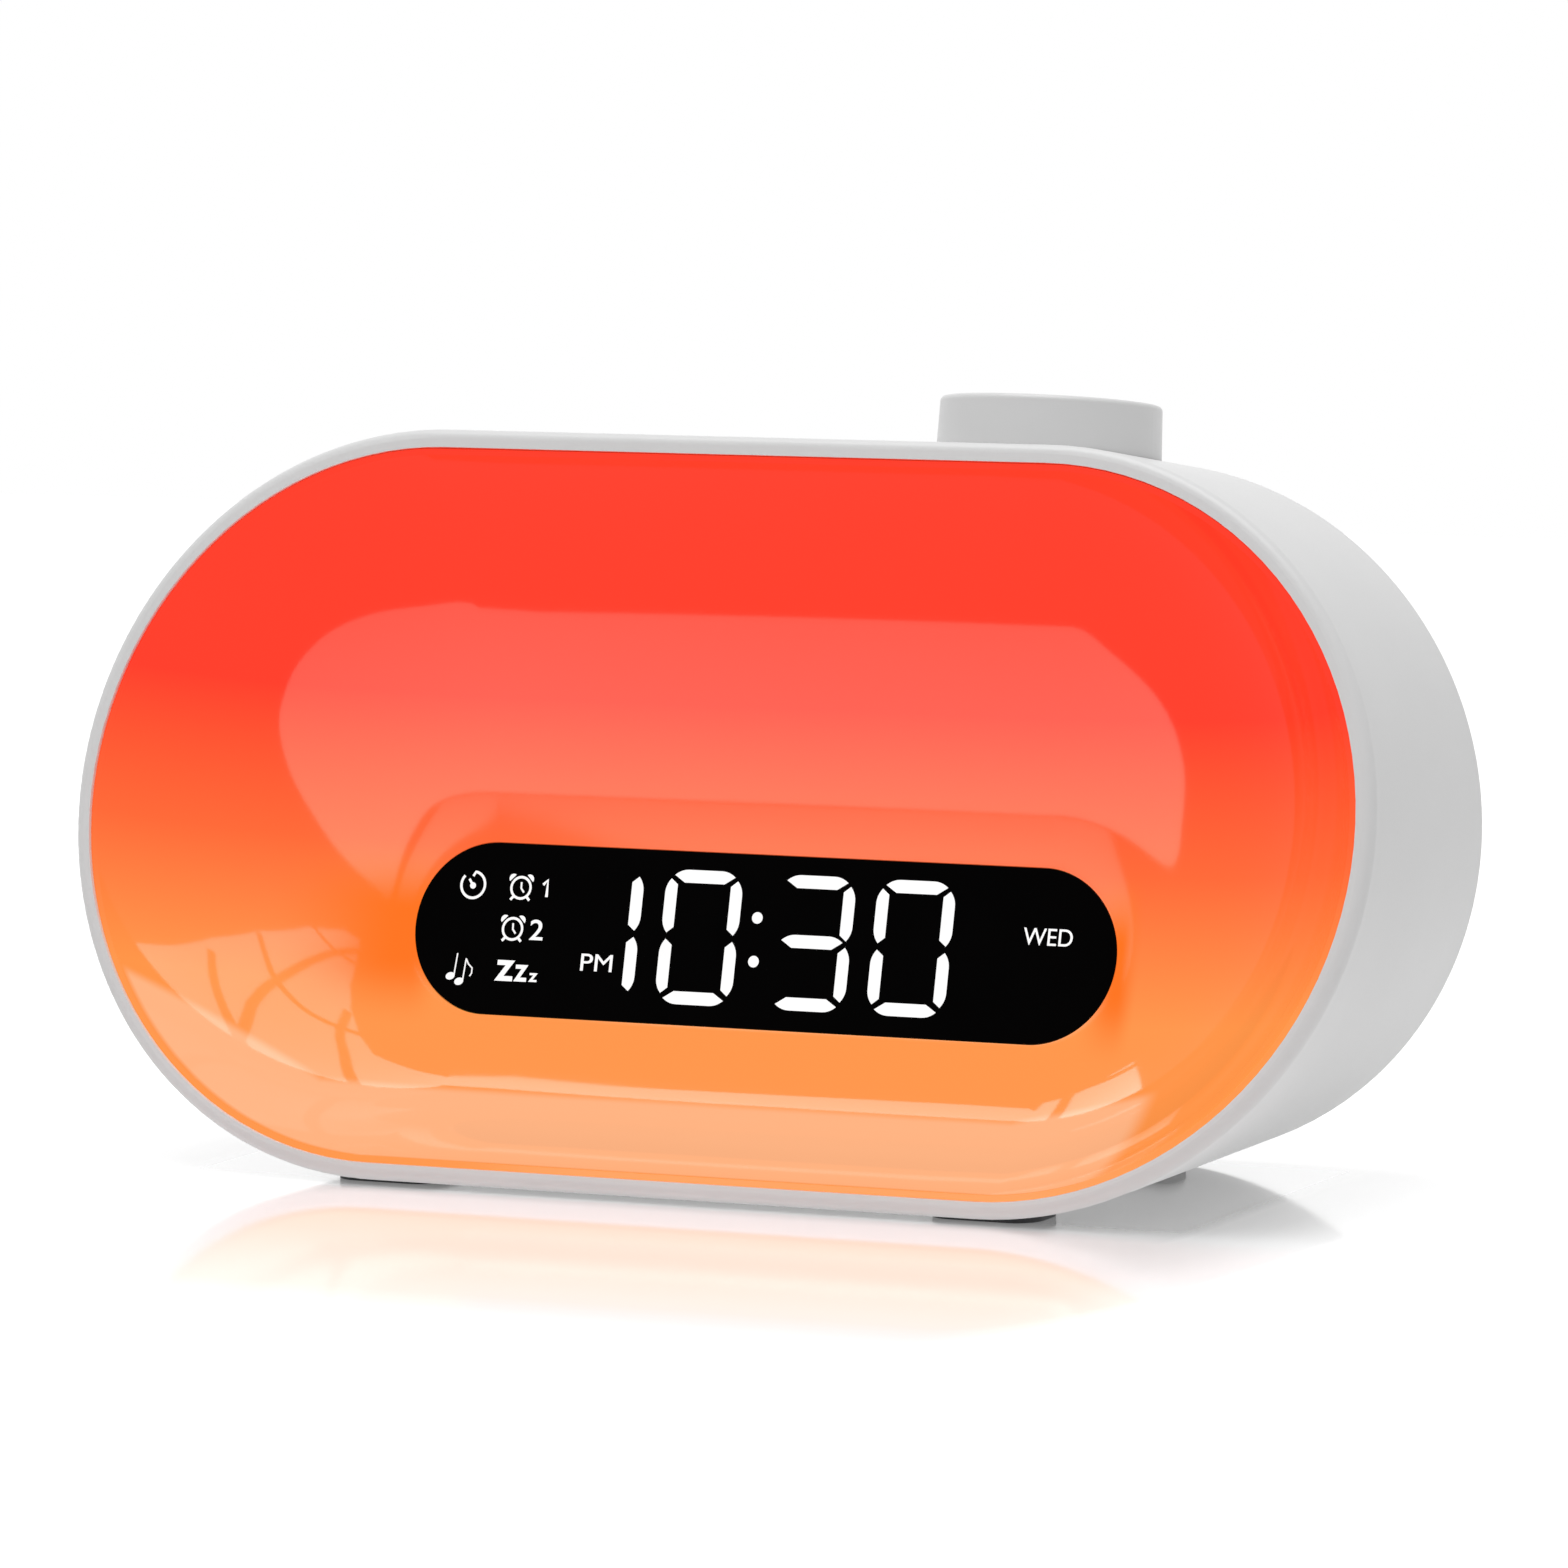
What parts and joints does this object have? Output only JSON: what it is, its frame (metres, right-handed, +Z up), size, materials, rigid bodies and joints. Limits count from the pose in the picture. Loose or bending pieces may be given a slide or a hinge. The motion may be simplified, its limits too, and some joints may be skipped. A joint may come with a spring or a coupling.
{
  "type": "sound machine alarm clock",
  "caption": "Bedside sound machine and alarm clock: a rounded white housing with a leaning, glowing concave face, a pill-shaped display, a turn-and-push knob on top and a speaker behind.",
  "frame": {"origin": "on the ground under the middle of the base", "axes": "+X to the viewer's right when facing the display, +Y from the display towards the rear cover, +Z up"},
  "size_m": [0.1845, 0.0625, 0.1018],
  "materials": {
    "shell_white": "satin white",
    "dish_glow": "gloss translucent, lit from behind in red and orange",
    "window_black": "gloss smoked",
    "shade_black": "matt black",
    "led_white": "lamp white",
    "board_green": "solder mask",
    "screw_steel": "zinc plated",
    "cover_white": "fine matt white",
    "chip_black": "moulded black",
    "socket_white": "natural nylon",
    "ribbon_white": "flat cable",
    "inlet_black": "moulded black",
    "contact_metal": "plated brass",
    "cell_steel": "nickel plated",
    "door_white": "fine matt white",
    "basket_steel": "pressed steel",
    "magnet_grey": "ferrite",
    "cone_black": "pressed cone",
    "surround_rubber": "soft rubber",
    "gasket_rubber": "foam rubber",
    "lead_red": "insulated wire",
    "knob_white": "satin white",
    "shaft_metal": "plain metal",
    "button_grey": "satin pale grey",
    "foot_rubber": "matt rubber"
  },
  "bodies": {
    "base": {"housing": "shell_white", "front_diffuser": "dish_glow", "display_window": "window_black", "display_shade": "shade_black", "display_leds": "led_white", "front_board": "board_green", "light_leds": "led_white", "front_board_screws": "screw_steel", "rear_cover": "cover_white", "cover_screws": "screw_steel", "main_board": "board_green", "main_chips": "chip_black", "main_board_screws": "screw_steel", "tact_switches": "chip_black", "ribbon_sockets": "socket_white", "ribbon_cable": "ribbon_white", "dc_inlet": "inlet_black", "inlet_pin": "contact_metal", "cell_holder": "shade_black", "cell_contact": "contact_metal", "coin_cell": "cell_steel", "speaker_basket": "basket_steel", "speaker_magnet": "magnet_grey", "speaker_pole": "basket_steel", "speaker_surround": "surround_rubber", "speaker_gasket": "gasket_rubber", "speaker_screws": "screw_steel", "speaker_plug": "socket_white", "speaker_leads": "lead_red", "encoder_body": "shaft_metal", "encoder_board": "board_green", "encoder_screws": "screw_steel", "foot_front_left": "foot_rubber", "foot_front_right": "foot_rubber", "foot_rear_left": "foot_rubber", "foot_rear_right": "foot_rubber"},
    "knob_push": {"encoder_plunger": "shade_black"},
    "knob": {"knob_cap": "knob_white", "encoder_shaft": "shaft_metal"},
    "time_key": {"time_button": "button_grey"},
    "alarm_key": {"alarm_button": "button_grey"},
    "sound_key": {"sound_button": "button_grey"},
    "timer_key": {"timer_button": "button_grey"},
    "door": {"battery_door": "door_white"},
    "cone": {"speaker_cone": "cone_black"}
  },
  "joints": [
    {"name": "knob_press", "type": "slide", "parent": "base", "child": "knob_push", "axis": [0, -0.1475, -0.9891], "range_m": [0, 0.0005], "stiffness_N_per_m": 4000, "springref_m": -0.0005},
    {"name": "knob_turn", "type": "hinge", "parent": "knob_push", "child": "knob", "pos_m": [0.0341, 0.01411, 0.09302], "axis": [0, 0.1475, 0.9891], "continuous": true},
    {"name": "time_press", "type": "slide", "parent": "base", "child": "time_key", "axis": [0, -1, 0], "range_m": [0, 0.0005], "stiffness_N_per_m": 2000, "springref_m": -0.0005},
    {"name": "alarm_press", "type": "slide", "parent": "base", "child": "alarm_key", "axis": [0, -1, 0], "range_m": [0, 0.0005], "stiffness_N_per_m": 2000, "springref_m": -0.0005},
    {"name": "sound_press", "type": "slide", "parent": "base", "child": "sound_key", "axis": [0, -1, 0], "range_m": [0, 0.0005], "stiffness_N_per_m": 2000, "springref_m": -0.0005},
    {"name": "timer_press", "type": "slide", "parent": "base", "child": "timer_key", "axis": [0, -1, 0], "range_m": [0, 0.0005], "stiffness_N_per_m": 2000, "springref_m": -0.0005},
    {"name": "door_turn", "type": "hinge", "parent": "base", "child": "door", "pos_m": [0.03, 0.03035, 0.028], "axis": [0, 1, 0], "range_deg": [0, 45]},
    {"name": "cone_travel", "type": "slide", "parent": "base", "child": "cone", "axis": [0, 1, 0], "range_m": [-0.0008, 0.0008], "stiffness_N_per_m": 1000}
  ]
}
